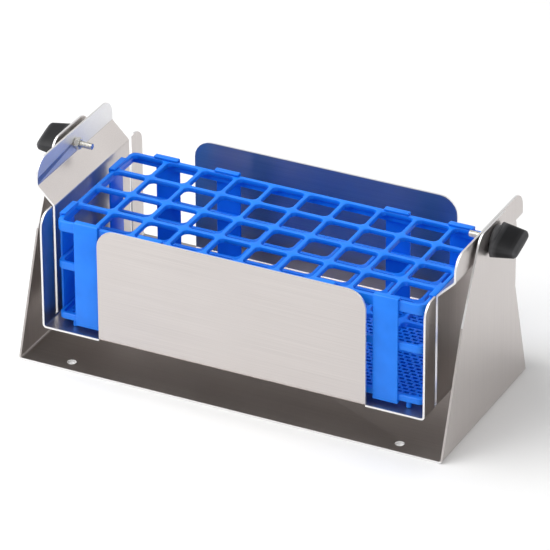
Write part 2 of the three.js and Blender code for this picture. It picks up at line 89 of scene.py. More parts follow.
def make(tree, kind, inputs=None, **settings):
    """A node of a shader or geometry tree, with its settings, and its inputs as values or links."""
    made = tree.nodes.new(kind)
    for name, value in settings.items():
        setattr(made, name, value)
    for key, value in (inputs or {}).items():
        if isinstance(value, bpy.types.NodeSocket):
            tree.links.new(value, made.inputs[key])
        else:
            made.inputs[key].default_value = value
    return made


def shader_material(name):
    """An empty node material, and its tree."""
    finish = bpy.data.materials.new(name)
    finish.use_nodes = True
    finish.node_tree.nodes.clear()
    return finish, finish.node_tree


def mesh_object(name, mesh):
    """A new object at the origin that holds the mesh."""
    made = bpy.data.objects.new(name, mesh)
    scene.collection.objects.link(made)
    return made


def studio_surround(tree):
    """Bright all round at table height, falling to a dim grey overhead."""
    tree.nodes.clear()
    way = make(tree, "ShaderNodeTexCoord").outputs["Generated"]
    up = make(tree, "ShaderNodeSeparateXYZ", {"Vector": way}).outputs["Z"]
    level = make(tree, "ShaderNodeMapRange", {
        "Value": up, "From Min": 0.1, "From Max": 0.9,
        "To Min": SURROUND_LEVEL, "To Max": SURROUND_OVERHEAD,
    })
    sky = make(tree, "ShaderNodeBackground", {
        "Color": (1.0, 1.0, 1.0, 1.0), "Strength": level.outputs[0],
    })
    make(tree, "ShaderNodeOutputWorld", {"Surface": sky.outputs[0]})


def table_top():
    """A pale smooth top, with a faint mottle in its gloss."""
    finish, tree = shader_material("table_top")
    place = make(tree, "ShaderNodeTexCoord").outputs["Object"]
    grain = make(tree, "ShaderNodeTexNoise", {"Vector": place, "Scale": 40.0, "Detail": 3.0})
    shade = make(tree, "ShaderNodeMapRange", {"Value": grain.outputs[0], "To Min": 0.5, "To Max": 0.6})
    surface = make(tree, "ShaderNodeBsdfPrincipled", {
        "Base Color": (0.93, 0.93, 0.93, 1.0),
        "Roughness": shade.outputs[0],
    })
    make(tree, "ShaderNodeOutputMaterial", {"Surface": surface.outputs[0]})
    return finish


floor_mesh = bpy.data.meshes.new("floor")
floor_corners = [
    (x * FLOOR_HALF_SIZE, y * FLOOR_HALF_SIZE, -FLOOR_DROP)
    for x, y in ((-1, -1), (1, -1), (1, 1), (-1, 1))
]
floor_mesh.from_pydata(floor_corners, [], [(0, 1, 2, 3)])
floor_mesh.materials.append(table_top())
mesh_object("floor", floor_mesh)

scene.world = bpy.data.worlds.new("surround")
scene.world.use_nodes = True
studio_surround(scene.world.node_tree)


def lamp(name, azimuth, elevation, distance, size, power):
    """A square soft lamp that faces the object, placed as the camera is."""
    turn, lift = math.radians(azimuth), math.radians(elevation)
    way = Vector((math.sin(turn) * math.cos(lift), -math.cos(turn) * math.cos(lift), math.sin(lift)))
    light = bpy.data.lights.new(name, "AREA")
    light.size = size
    light.energy = power
    made = bpy.data.objects.new(name, light)
    made.location = VIEW_TARGET + way * distance
    made.rotation_euler = (-way).to_track_quat("-Z", "Y").to_euler()
    scene.collection.objects.link(made)


lamp("key_lamp", azimuth=-66, elevation=54, distance=2.0, size=2.4, power=55)
lamp("fill_lamp", azimuth=75, elevation=35, distance=2.0, size=1.4, power=7)
lamp("back_lamp", azimuth=148, elevation=24, distance=1.6, size=1.1, power=2.5)

# ---------------------------------------------------------------- base bracket and cradle tray
# Both are single stainless sheets, cut flat and folded on a press brake. The rolled faces keep the mill's
# fine straight brushing, and the sheared edges are bare metal painted brighter than the faces, partly their
# own bare finish and partly a painted highlight of the light the edges catch.

SHEET = 0.0015
THROUGH_SHEET = 1.3             # a rolled face has the other side nearer than this many sheets
CORNER_INSET = 0.02             # a test ray starts this share of the way from a corner to the middle
RAY_OFFSET = 1e-5               # and this far under the surface
WELD_DISTANCE = 1e-6
FLAT_ANGLE = math.radians(0.5)  # faces that meet at less than this are one flat face
SMOOTH_ANGLE = math.radians(35)
GRAIN_FINE = 1500.0             # the brushing's noise scale across its lines
GRAIN_LONG = 9.0                # and along them


def brushed_sheet():
    """Stainless with its grain along the sheet: along X on the floor and plates, up the folded ends."""
    finish, tree = shader_material("brushed_stainless")
    place = make(tree, "ShaderNodeTexCoord").outputs["Object"]
    along_x = make(tree, "ShaderNodeMapping", {
        "Vector": place, "Scale": (GRAIN_LONG, GRAIN_FINE, GRAIN_FINE),
    })
    along_z = make(tree, "ShaderNodeMapping", {
        "Vector": place, "Scale": (GRAIN_FINE, GRAIN_FINE, GRAIN_LONG),
    })
    facing = make(tree, "ShaderNodeNewGeometry").outputs["True Normal"]
    sideways = make(tree, "ShaderNodeSeparateXYZ", {"Vector": facing}).outputs["X"]
    size = make(tree, "ShaderNodeMath", {0: sideways}, operation="ABSOLUTE")
    folded_up = make(tree, "ShaderNodeMath", {0: size.outputs[0], 1: 0.5}, operation="GREATER_THAN")
    grain_place = make(tree, "ShaderNodeMix", data_type="VECTOR")
    tree.links.new(folded_up.outputs[0], grain_place.inputs[0])
    tree.links.new(along_x.outputs[0], grain_place.inputs[4])
    tree.links.new(along_z.outputs[0], grain_place.inputs[5])
    grain = make(tree, "ShaderNodeTexNoise", {
        "Vector": grain_place.outputs[1], "Scale": 1.0, "Detail": 5.0, "Roughness": 0.65,
    })
    cloud = make(tree, "ShaderNodeTexNoise", {"Vector": place, "Scale": 16.0, "Detail": 4.0})
    speckle = make(tree, "ShaderNodeTexNoise", {"Vector": place, "Scale": 420.0, "Detail": 2.0})
    tint = make(tree, "ShaderNodeValToRGB", {"Fac": grain.outputs[0]})
    tint.color_ramp.elements[0].position = 0.3
    tint.color_ramp.elements[0].color = (0.560, 0.522, 0.505, 1.0)
    tint.color_ramp.elements[1].position = 0.7
    tint.color_ramp.elements[1].color = (0.640, 0.600, 0.580, 1.0)
    dulled = make(tree, "ShaderNodeMapRange", {
        "Value": cloud.outputs[0], "From Min": 0.3, "From Max": 0.7, "To Min": 0.29, "To Max": 0.37,
    })
    grain_rough = make(tree, "ShaderNodeMapRange", {
        "Value": grain.outputs[0], "To Min": -0.05, "To Max": 0.07,
    })
    rough = make(tree, "ShaderNodeMath", {
        0: dulled.outputs[0], 1: grain_rough.outputs[0],
    }, operation="ADD")
    lines = make(tree, "ShaderNodeBump", {
        "Height": grain.outputs[0], "Strength": 0.12, "Distance": 0.00004,
    })
    pits = make(tree, "ShaderNodeBump", {
        "Height": speckle.outputs[0], "Strength": 0.12, "Distance": 0.00008, "Normal": lines.outputs[0],
    })
    surface = make(tree, "ShaderNodeBsdfPrincipled", {
        "Base Color": tint.outputs[0], "Roughness": rough.outputs[0], "Normal": pits.outputs[0],
        "Metallic": 1.0,
    })
    make(tree, "ShaderNodeOutputMaterial", {"Surface": surface.outputs[0]})
    return finish


def sheared_edge():
    """The bare cut edge: a brighter colour than the sheet, partly bare metal and partly a painted
    highlight, with the fine grain that the shear leaves.
    """
    finish, tree = shader_material("sheared_edge")
    place = make(tree, "ShaderNodeTexCoord").outputs["Object"]
    marks = make(tree, "ShaderNodeTexNoise", {"Vector": place, "Scale": 1900.0, "Detail": 2.0})
    # painted highlight: the cut edges' near-white colour partly stands for the light they catch
    tint = make(tree, "ShaderNodeValToRGB", {"Fac": marks.outputs[0]})
    tint.color_ramp.elements[0].color = (0.80, 0.79, 0.78, 1.0)
    tint.color_ramp.elements[1].color = (0.95, 0.945, 0.94, 1.0)
    raised = make(tree, "ShaderNodeBump", {
        "Height": marks.outputs[0], "Strength": 0.2, "Distance": 0.00005,
    })
    surface = make(tree, "ShaderNodeBsdfPrincipled", {
        "Base Color": tint.outputs[0], "Normal": raised.outputs[0], "Metallic": 0.75, "Roughness": 0.42,
    })
    make(tree, "ShaderNodeOutputMaterial", {"Surface": surface.outputs[0]})
    return finish


def merged_copy(node):
    """The node's shape as a clean mesh: shared corners, and flat areas as single faces."""
    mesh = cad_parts[node].data.copy()
    shape = bmesh.new()
    shape.from_mesh(mesh)
    bmesh.ops.remove_doubles(shape, verts=shape.verts, dist=WELD_DISTANCE)
    bmesh.ops.dissolve_limit(
        shape, angle_limit=FLAT_ANGLE, verts=shape.verts, edges=shape.edges,
    )
    shape.to_mesh(mesh)
    shape.free()
    return mesh


def mark_sheared_faces(mesh):
    """Slot 0 for a face with the sheet's other side right behind it, and slot 1 for a cut edge."""
    shape = bmesh.new()
    shape.from_mesh(mesh)
    bmesh.ops.triangulate(shape, faces=shape.faces[:])
    tree = BVHTree.FromBMesh(shape)
    shape.free()
    for face in mesh.polygons:
        votes = 0
        for index in face.vertices:
            corner = mesh.vertices[index].co
            start = corner.lerp(face.center, CORNER_INSET) - face.normal * RAY_OFFSET
            depth = tree.ray_cast(start, -face.normal)[3]
            is_rolled = depth is not None and depth < SHEET * THROUGH_SHEET
            votes += 1 if is_rolled else -1
        face.material_index = 0 if votes > 0 else 1


def sheet_piece(name, node, body, finishes):
    """A folded sheet made from its node, smooth over its bends and sharp at its edges."""
    mesh = merged_copy(node)
    mesh.materials.clear()
    for finish in finishes:
        mesh.materials.append(finish)
    mark_sheared_faces(mesh)
    mesh.shade_smooth()
    mesh.set_sharp_from_angle(angle=SMOOTH_ANGLE)
    piece = mesh_object(name, mesh)
    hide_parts(node)
    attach(piece, body)


sheet_finishes = [brushed_sheet(), sheared_edge()]
sheet_piece("folded_base_bracket", "base_bracket", "base", sheet_finishes)
sheet_piece("folded_cradle_tray", "cradle_tray", "cradle", sheet_finishes)

# ---------------------------------------------------------------- washers
# White nylon, stamped from sheet and lightly chamfered, trapped between each ear and the cradle's
# flange so that the two sheets turn on each other without scoring.

RING_SEGMENTS = 64
WASHER_CHAMFER = 0.0003
STUD_CLEARANCE = 0.0003


def plastic(name, dark, light, roughness, grain_scale, grain_depth):
    """Plastic: a faint mottle in colour and gloss, and a fine grain over its skin."""
    finish, tree = shader_material(name)
    place = make(tree, "ShaderNodeTexCoord").outputs["Object"]
    mottle = make(tree, "ShaderNodeTexNoise", {"Vector": place, "Scale": 55.0, "Detail": 3.0})
    tint = make(tree, "ShaderNodeValToRGB", {"Fac": mottle.outputs[0]})
    tint.color_ramp.elements[0].position = 0.3
    tint.color_ramp.elements[0].color = dark
    tint.color_ramp.elements[1].position = 0.7
    tint.color_ramp.elements[1].color = light
    gloss = make(tree, "ShaderNodeMapRange", {
        "Value": mottle.outputs[0], "To Min": roughness - 0.05, "To Max": roughness + 0.05,
    })
    grain = make(tree, "ShaderNodeTexNoise", {"Vector": place, "Scale": grain_scale, "Detail": 2.0})
    skin = make(tree, "ShaderNodeBump", {
        "Height": grain.outputs[0], "Strength": 0.3, "Distance": grain_depth,
    })
    surface = make(tree, "ShaderNodeBsdfPrincipled", {
        "Base Color": tint.outputs[0], "Roughness": gloss.outputs[0], "Normal": skin.outputs[0],
        "Specular IOR Level": 0.35,
    })
    make(tree, "ShaderNodeOutputMaterial", {"Surface": surface.outputs[0]})
    return finish


def bridge_rings(shape, rings):
    """Side faces between each ring of corners and the next."""
    for ring, following in zip(rings, rings[1:]):
        for i in range(len(ring)):
            j = (i + 1) % len(ring)
            shape.faces.new((ring[i], ring[j], following[j], following[i]))


def finished_object(name, shape, finish, sharp_angle):
    """The shape as an object, facing outwards, and smooth where it bends by less than the angle."""
    bmesh.ops.recalc_face_normals(shape, faces=shape.faces[:])
    mesh = bpy.data.meshes.new(name)
    shape.to_mesh(mesh)
    shape.free()
    mesh.materials.append(finish)
    mesh.shade_smooth()
    mesh.set_sharp_from_angle(angle=sharp_angle)
    return mesh_object(name, mesh)


def turned_solid(name, sections, centre, finish, sharp_angle):
    """A closed solid round the X axis: each section is a place along X and its radii all round."""
    shape = bmesh.new()
    rings = []
    for along, radii in sections:
        ring = []
        for i, radius in enumerate(radii):
            turn = 2 * math.pi * i / len(radii)
            offset = Vector((along, radius * math.cos(turn), radius * math.sin(turn)))
            ring.append(shape.verts.new(centre + offset))
        rings.append(ring)
    bridge_rings(shape, rings + rings[:1])
    return finished_object(name, shape, finish, sharp_angle)


def node_middle(node):
    """The middle of a node's box."""
    low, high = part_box(node)
    return (Vector(low) + Vector(high)) / 2


def node_size(node):
    """The three sides of a node's box."""
    low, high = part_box(node)
    return Vector(high) - Vector(low)


stud_radius = node_size("left_stud").z / 2
hole_radius = stud_radius + STUD_CLEARANCE
pivot_height = node_middle("left_stud").z
nylon = plastic("white_nylon", (0.66, 0.66, 0.63, 1), (0.75, 0.75, 0.72, 1), 0.45, 900.0, 0.00006)

for side in ("left", "right"):
    node = f"{side}_washer"
    half = node_size(node).x / 2
    outer = node_size(node).z / 2
    edge = WASHER_CHAMFER
    profile = (
        (-half, hole_radius), (-half, outer - edge), (-half + edge, outer),
        (half - edge, outer), (half, outer - edge), (half, hole_radius),
    )
    sections = [(along, [radius] * RING_SEGMENTS) for along, radius in profile]
    washer = turned_solid(f"{side}_nylon_washer", sections, node_middle(node), nylon, SMOOTH_ANGLE)
    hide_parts(node)
    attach(washer, "base")

# ---------------------------------------------------------------- clinch nuts
# Plated steel hexagons pressed into the flange from inside. Both ends are chamfered round, so the
# six corners are cut back to a circle.

NUT_CHAMFER = 0.0006
NUT_SEGMENTS = 48
NUT_SHARP_ANGLE = math.radians(20)


def bright_steel():
    """Bright plated steel, with a faint warm tarnish in patches."""
    finish, tree = shader_material("bright_plated_steel")
    place = make(tree, "ShaderNodeTexCoord").outputs["Object"]
    tarnish = make(tree, "ShaderNodeTexNoise", {"Vector": place, "Scale": 260.0, "Detail": 4.0})
    tint = make(tree, "ShaderNodeValToRGB", {"Fac": tarnish.outputs[0]})
    tint.color_ramp.elements[0].color = (0.62, 0.60, 0.54, 1.0)
    tint.color_ramp.elements[1].color = (0.84, 0.83, 0.79, 1.0)
    gloss = make(tree, "ShaderNodeMapRange", {"Value": tarnish.outputs[0], "To Min": 0.2, "To Max": 0.36})
    surface = make(tree, "ShaderNodeBsdfPrincipled", {
        "Base Color": tint.outputs[0], "Roughness": gloss.outputs[0], "Metallic": 1.0,
    })
    make(tree, "ShaderNodeOutputMaterial", {"Surface": surface.outputs[0]})
    return finish


def hexagon_radius(turn, across_flats):
    """The distance from a hexagon's middle to its side, in the direction of the turn."""
    sector = math.pi / 3
    from_flat = (turn % sector) - sector / 2
    return across_flats / 2 / math.cos(from_flat)


def clinch_nut(name, node, finish):
    """A hexagonal nut with a plain hole, its corners cut back to a circle at both ends."""
    low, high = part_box(node)
    half = (high[0] - low[0]) / 2
    flats = high[2] - low[2]
    turns = [2 * math.pi * i / NUT_SEGMENTS for i in range(NUT_SEGMENTS)]
    hexagon = [hexagon_radius(turn, flats) for turn in turns]
    circle = [flats / 2] * NUT_SEGMENTS
    hole = [hole_radius] * NUT_SEGMENTS
    sections = [
        (-half, hole), (-half, circle), (-half + NUT_CHAMFER, hexagon),
        (half - NUT_CHAMFER, hexagon), (half, circle), (half, hole),
    ]
    return turned_solid(name, sections, node_middle(node), finish, NUT_SHARP_ANGLE)


steel = bright_steel()
for side in ("left", "right"):
    nut = clinch_nut(f"{side}_pressed_nut", f"{side}_clinch_nut", steel)
    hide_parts(f"{side}_clinch_nut")
    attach(nut, "cradle")

# ---------------------------------------------------------------- studs
# M5 studs moulded into the knobs, with a rolled thread of 0.8 mm pitch from end to end. Geometry
# Nodes turn a plain rod into the thread by a helical rise and fall of its radius.

THREAD_PITCH = 0.0008
THREAD_DEPTH = 0.0003
THREAD_STEPS = 6                # rings of corners in each pitch of the thread
THREAD_SIDES = 28


def tree_input(tree, name, kind):
    """A named input of a geometry tree; returns the identifier that a modifier sets it by."""
    return tree.interface.new_socket(name, in_out="INPUT", socket_type=kind).identifier


def threaded_rod_tree(finish):
    """A rod along X whose radius rises and falls once a pitch, in step with its own turn."""
    tree = bpy.data.node_groups.new("threaded_rod", "GeometryNodeTree")
    names = {name: tree_input(tree, name, "NodeSocketFloat") for name in (
        "Start", "End", "Radius", "Pitch", "Depth", "Height",
    )}
    names["Steps"] = tree_input(tree, "Steps", "NodeSocketInt")
    tree.interface.new_socket("Geometry", in_out="OUTPUT", socket_type="NodeSocketGeometry")
    given = make(tree, "NodeGroupInput").outputs
    start = make(tree, "ShaderNodeCombineXYZ", {"X": given["Start"]})
    end = make(tree, "ShaderNodeCombineXYZ", {"X": given["End"]})
    line = make(tree, "GeometryNodeCurvePrimitiveLine", {"Start": start.outputs[0], "End": end.outputs[0]})
    stepped = make(tree, "GeometryNodeResampleCurve", {
        "Curve": line.outputs[0], "Count": given["Steps"],
    })
    circle = make(tree, "GeometryNodeCurvePrimitiveCircle", {
        "Resolution": THREAD_SIDES, "Radius": given["Radius"],
    })
    rod = make(tree, "GeometryNodeCurveToMesh", {
        "Curve": stepped.outputs[0], "Profile Curve": circle.outputs[0], "Fill Caps": True,
    })
    place = make(tree, "GeometryNodeInputPosition").outputs[0]
    parts = make(tree, "ShaderNodeSeparateXYZ", {"Vector": place}).outputs
    turn = make(tree, "ShaderNodeMath", {0: parts["Z"], 1: parts["Y"]}, operation="ARCTAN2")
    turns = make(tree, "ShaderNodeMath", {0: turn.outputs[0], 1: 2 * math.pi}, operation="DIVIDE")
    pitches = make(tree, "ShaderNodeMath", {0: parts["X"], 1: given["Pitch"]}, operation="DIVIDE")
    helix = make(tree, "ShaderNodeMath", {0: pitches.outputs[0], 1: turns.outputs[0]}, operation="ADD")
    wave = make(tree, "ShaderNodeMath", {0: helix.outputs[0], 1: 0.5}, operation="PINGPONG")
    groove = make(tree, "ShaderNodeMapRange", {"Value": wave.outputs[0], "From Max": 0.5})
    tree.links.new(given["Depth"], groove.inputs["To Max"])
    share = make(tree, "ShaderNodeMath", {0: groove.outputs[0], 1: given["Radius"]}, operation="DIVIDE")
    kept = make(tree, "ShaderNodeMath", {0: 1.0, 1: share.outputs[0]}, operation="SUBTRACT")
    across_y = make(tree, "ShaderNodeMath", {0: parts["Y"], 1: kept.outputs[0]}, operation="MULTIPLY")
    across_z = make(tree, "ShaderNodeMath", {0: parts["Z"], 1: kept.outputs[0]}, operation="MULTIPLY")
    lifted = make(tree, "ShaderNodeMath", {0: across_z.outputs[0], 1: given["Height"]}, operation="ADD")
    target = make(tree, "ShaderNodeCombineXYZ", {
        "X": parts["X"], "Y": across_y.outputs[0], "Z": lifted.outputs[0],
    })
    cut = make(tree, "GeometryNodeSetPosition", {"Geometry": rod.outputs[0], "Position": target.outputs[0]})
    plain = make(tree, "GeometryNodeRealizeInstances", {"Geometry": cut.outputs[0]})
    done = make(tree, "GeometryNodeSetMaterial", {"Geometry": plain.outputs[0], "Material": finish})
    make(tree, "NodeGroupOutput", {"Geometry": done.outputs[0]})
    return tree, names


def grown(name, tree, names, values, finish):
    """The result of a geometry tree with these input values, as a plain mesh of one material."""
    seed_mesh = bpy.data.meshes.new(name + "_seed")
    holder = mesh_object(name + "_seed", seed_mesh)
    modifier = holder.modifiers.new("grow", "NODES")
    modifier.node_group = tree
    for key, value in values.items():
        modifier[names[key]] = value
    ready = holder.evaluated_get(bpy.context.evaluated_depsgraph_get())
    mesh = bpy.data.meshes.new_from_object(ready)
    mesh.name = name
    bpy.data.objects.remove(holder)
    mesh.materials.clear()
    mesh.materials.append(finish)
    for face in mesh.polygons:
        face.material_index = 0
    return mesh


rod_tree, rod_inputs = threaded_rod_tree(steel)
for side in ("left", "right"):
    low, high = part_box(f"{side}_stud")
    mesh = grown(f"{side}_threaded_stud", rod_tree, rod_inputs, {
        "Start": low[0], "End": high[0], "Radius": stud_radius, "Pitch": THREAD_PITCH,
        "Depth": THREAD_DEPTH, "Height": pivot_height,
        "Steps": int((high[0] - low[0]) / THREAD_PITCH * THREAD_STEPS),
    }, steel)
    rod = mesh_object(f"{side}_threaded_stud", mesh)
    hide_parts(f"{side}_stud")
    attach(rod, f"{side}_knob")

# ---------------------------------------------------------------- wing knobs
# Black moulded wing knobs: a round collar against the ear, and a broad flat wing that narrows outwards,
# with rounded edges painted slightly lighter in patches, a painted highlight where they catch the light.

WING_SIDES = 96
WING_SQUARENESS = 0.5           # 1 is an ellipse, and 0 a rectangle
WING_INNER = (0.0148, 0.0066)   # half the width and half the thickness, at the root
WING_OUTER = (0.0128, 0.0041)   # and at the outer end
WING_ROUNDING = 0.0032
WING_STEPS = 6
WING_ROOT = 0.6                 # the wing starts this share of the way through the collar
COLLAR_RADIUS = 0.0108
COLLAR_THICKNESS = 0.003
COLLAR_CHAMFER = 0.0005
KNOB_SHARP_ANGLE = math.radians(50)
KNOB_TURNS = {"left": 18.0, "right": 17.0}


def black_knob_plastic():
    """Black plastic, with a painted highlight: a shade greyer on its sharper edges, in patches."""
    finish, tree = shader_material("black_knob_plastic")
    place = make(tree, "ShaderNodeTexCoord").outputs["Object"]
    mottle = make(tree, "ShaderNodeTexNoise", {"Vector": place, "Scale": 160.0, "Detail": 4.0})
    pointed = make(tree, "ShaderNodeNewGeometry").outputs["Pointiness"]
    # painted highlight: the sharper edges are coloured greyer to stand for the light their rounding catches
    edge_highlight = make(tree, "ShaderNodeMapRange", {
        "Value": pointed, "From Min": 0.5, "From Max": 0.53,
    })
    highlight_patches = make(tree, "ShaderNodeMapRange", {"Value": mottle.outputs[0], "To Min": 0.6, "To Max": 1.0})
    patchy = make(tree, "ShaderNodeMath", {0: edge_highlight.outputs[0], 1: highlight_patches.outputs[0]}, operation="MULTIPLY")
    tint = make(tree, "ShaderNodeValToRGB", {"Fac": patchy.outputs[0]})
    tint.color_ramp.elements[0].color = (0.004, 0.004, 0.005, 1.0)
    tint.color_ramp.elements[1].color = (0.10, 0.10, 0.105, 1.0)
    gloss = make(tree, "ShaderNodeMapRange", {"Value": mottle.outputs[0], "To Min": 0.36, "To Max": 0.5})
    grain = make(tree, "ShaderNodeTexNoise", {"Vector": place, "Scale": 1400.0, "Detail": 2.0})
    skin = make(tree, "ShaderNodeBump", {
        "Height": grain.outputs[0], "Strength": 0.35, "Distance": 0.00008,
    })
    surface = make(tree, "ShaderNodeBsdfPrincipled", {
        "Base Color": tint.outputs[0], "Roughness": gloss.outputs[0], "Normal": skin.outputs[0],
        "Specular IOR Level": 0.22,
    })
    make(tree, "ShaderNodeOutputMaterial", {"Surface": surface.outputs[0]})
    return finish


def wing_ring(shape, along, half_width, half_thickness, squareness):
    """A ring of corners across X, between an ellipse and a rectangle."""
    ring = []
    for i in range(WING_SIDES):
        turn = 2 * math.pi * i / WING_SIDES
        across = math.cos(turn)
        up = math.sin(turn)
        y = half_width * math.copysign(abs(across) ** squareness, across)
        z = half_thickness * math.copysign(abs(up) ** squareness, up)
        ring.append(shape.verts.new((along, y, z)))
    return ring


def skin_rings(shape, rings):
    """Side faces between neighbouring rings, and a flat face over each end."""
    bridge_rings(shape, rings)
    shape.faces.new(rings[0])
    shape.faces.new(rings[-1])


def wing_knob(name, node, direction, turn, finish):
    """A wing with a rounded outer end, grown from a collar, turned and set in its node's place."""
    shape = bmesh.new()
    wing = []
    straight = node_size(node).x - WING_ROUNDING
    start = COLLAR_THICKNESS * WING_ROOT
    for i in range(WING_STEPS + 1):
        share = i / WING_STEPS
        along = start + (straight - start) * share
        wide = WING_INNER[0] + (WING_OUTER[0] - WING_INNER[0]) * share
        thick = WING_INNER[1] + (WING_OUTER[1] - WING_INNER[1]) * share
        wing.append(wing_ring(shape, along, wide, thick, WING_SQUARENESS))
    for i in range(1, WING_STEPS + 1):
        arc = math.pi / 2 * i / WING_STEPS
        inset = WING_ROUNDING * (1 - math.cos(arc))
        along = straight + WING_ROUNDING * math.sin(arc)
        wing.append(wing_ring(
            shape, along, WING_OUTER[0] - inset, WING_OUTER[1] - inset, WING_SQUARENESS,
        ))
    skin_rings(shape, wing)
    edge = COLLAR_CHAMFER
    collar = [wing_ring(shape, along, radius, radius, 1.0) for along, radius in (
        (0.0, COLLAR_RADIUS - edge), (edge, COLLAR_RADIUS),
        (COLLAR_THICKNESS - edge, COLLAR_RADIUS), (COLLAR_THICKNESS, COLLAR_RADIUS - edge),
    )]
    skin_rings(shape, collar)
    low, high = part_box(node)
    inner_end = high[0] if direction < 0 else low[0]
    place = Matrix.Translation((inner_end, 0.0, pivot_height)) @ Matrix.Rotation(math.radians(turn), 4, "X")
    if direction < 0:
        place = place @ Matrix.Rotation(math.pi, 4, "Z")
    bmesh.ops.transform(shape, matrix=place, verts=shape.verts[:])
    return finished_object(name, shape, finish, KNOB_SHARP_ANGLE)


black = black_knob_plastic()
for side, direction in (("left", -1), ("right", 1)):
    node = f"{side}_wing_knob"
    knob = wing_knob(f"{side}_moulded_knob", node, direction, KNOB_TURNS[side], black)
    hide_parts(node)
    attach(knob, f"{side}_knob")

# ---------------------------------------------------------------- rack grids
# The top and middle tiers are injection-moulded polypropylene grids, four cells by ten, with rounded
# cells and a deeper rim. Geometry Nodes repeat one cell and weld the copies into one sheet of cells.

ROWS = 4
COLUMNS = 10
GRID_BAR = 0.003
CELL_RADIUS = 0.0045
BAR_HEIGHT = 0.004
BAR_ROUNDING = 0.0005
CORNER_STEPS = 6
RIM_CORNER_RADIUS = 0.005
RIM_ROUNDING = 0.0006
ROUND_MIDDLE = 0.3              # a rounded edge's middle corner lies this share of the rounding in
CELL_WELD_DISTANCE = 1e-5
PLAN_DIGITS = 5                 # corners above each other agree in X and Y to this many decimals
GRID_SHARP_ANGLE = math.radians(50)

blue = plastic(
    "blue_polypropylene", (0.004, 0.190, 0.86, 1), (0.008, 0.225, 0.96, 1), 0.38, 700.0, 0.00006,
)
grid_low, grid_high = (Vector(corner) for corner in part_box("rack_top_grid"))
rack_centre = (grid_low + grid_high) / 2
cell_pitch = (grid_high.x - grid_low.x - GRID_BAR) / COLUMNS


def rounded_square(half, radius, steps):
    """Points round a square with rounded corners, with one at the middle of each side."""
    points = []
    for quarter in range(4):
        start = quarter * math.pi / 2
        centre = Vector((half - radius, half - radius))
        side_middle = Vector((half, 0.0))
        corner = [centre + radius * Vector((math.cos(a), math.sin(a))) for a in (
            math.pi / 2 * i / steps for i in range(steps + 1)
        )]
        for point in [side_middle, *corner]:
            turned = Matrix.Rotation(start, 2) @ point
            points.append(turned)
    return points


def cell_mesh(height):
    """One cell's share of a grid: the faces round its hole, without the outer sides."""
    half_hole = (cell_pitch - GRID_BAR) / 2
    half_pitch = cell_pitch / 2
    inner = rounded_square(half_hole, CELL_RADIUS, CORNER_STEPS)
    middle = ROUND_MIDDLE * BAR_ROUNDING
    profile = (
        (None, 0.0), (BAR_ROUNDING, 0.0), (middle, middle), (0.0, BAR_ROUNDING),
        (0.0, height - BAR_ROUNDING), (BAR_ROUNDING, height), (None, height),
    )
    loops = []
    for grow, depth in profile:
        loop = []
        for point in inner:
            if grow is None:
                spread = point * (half_pitch / max(abs(point.x), abs(point.y)))
            else:
                spread = point * (1 + grow / half_hole)
            loop.append((spread.x, spread.y, -depth))
        loops.append(loop)
    count = len(inner)
    points = [point for loop in loops for point in loop]
    faces = []
    for k in range(len(loops) - 1):
        for i in range(count):
            j = (i + 1) % count
            faces.append((k * count + i, k * count + j, (k + 1) * count + j, (k + 1) * count + i))
    mesh = bpy.data.meshes.new("rack_cell")
    mesh.from_pydata(points, [], faces)
    return mesh


def point_grid(tree, given, pitch_x, pitch_y):
    """A centred grid of points with the tree's counts and these pitches, and its spans in X and Y."""
    spans = []
    for count, pitch in (("Columns", pitch_x), ("Rows", pitch_y)):
        steps = make(tree, "ShaderNodeMath", {0: given[count], 1: 1.0}, operation="SUBTRACT")
        span = make(tree, "ShaderNodeMath", {0: steps.outputs[0], 1: given[pitch]}, operation="MULTIPLY")
        spans.append(span.outputs[0])
    points = make(tree, "GeometryNodeMeshGrid", {
        "Size X": spans[0], "Size Y": spans[1],
        "Vertices X": given["Columns"], "Vertices Y": given["Rows"],
    })
    return points, spans


def repeated_cells_tree(finish):
    """Copies of one cell on a grid of points, welded where they meet."""
    tree = bpy.data.node_groups.new("repeated_cells", "GeometryNodeTree")
    names = {
        "Cell": tree_input(tree, "Cell", "NodeSocketObject"),
        "Pitch": tree_input(tree, "Pitch", "NodeSocketFloat"),
        "Columns": tree_input(tree, "Columns", "NodeSocketInt"),
        "Rows": tree_input(tree, "Rows", "NodeSocketInt"),
        "Centre": tree_input(tree, "Centre", "NodeSocketVector"),
    }
    tree.interface.new_socket("Geometry", in_out="OUTPUT", socket_type="NodeSocketGeometry")
    given = make(tree, "NodeGroupInput").outputs
    points = point_grid(tree, given, "Pitch", "Pitch")[0]
    cell = make(tree, "GeometryNodeObjectInfo", {"Object": given["Cell"]})
    copies = make(tree, "GeometryNodeInstanceOnPoints", {
        "Points": points.outputs[0], "Instance": cell.outputs["Geometry"],
    })
    plain = make(tree, "GeometryNodeRealizeInstances", {"Geometry": copies.outputs[0]})
    welded = make(tree, "GeometryNodeMergeByDistance", {
        "Geometry": plain.outputs[0], "Distance": CELL_WELD_DISTANCE,
    })
    placed = make(tree, "GeometryNodeTransform", {
        "Geometry": welded.outputs[0], "Translation": given["Centre"],
    })
    whole_sheet = make(tree, "GeometryNodeRealizeInstances", {"Geometry": placed.outputs[0]})
    done = make(tree, "GeometryNodeSetMaterial", {"Geometry": whole_sheet.outputs[0], "Material": finish})
    make(tree, "NodeGroupOutput", {"Geometry": done.outputs[0]})
    return tree, names


def on_rim(point, half_length, half_width, radius):
    """The nearest point of a rounded outline, centred on the rack."""
    x = point.x - rack_centre.x
    y = point.y - rack_centre.y
    inside_x = max(-(half_length - radius), min(half_length - radius, x))
    inside_y = max(-(half_width - radius), min(half_width - radius, y))
    away = Vector((x - inside_x, y - inside_y)).normalized() * radius
    return Vector((rack_centre.x + inside_x + away.x, rack_centre.y + inside_y + away.y))


def plan_place(vert):
    """Where a corner stands seen from above, the same for one straight above or below it."""
    return round(vert.co.x, PLAN_DIGITS), round(vert.co.y, PLAN_DIGITS)


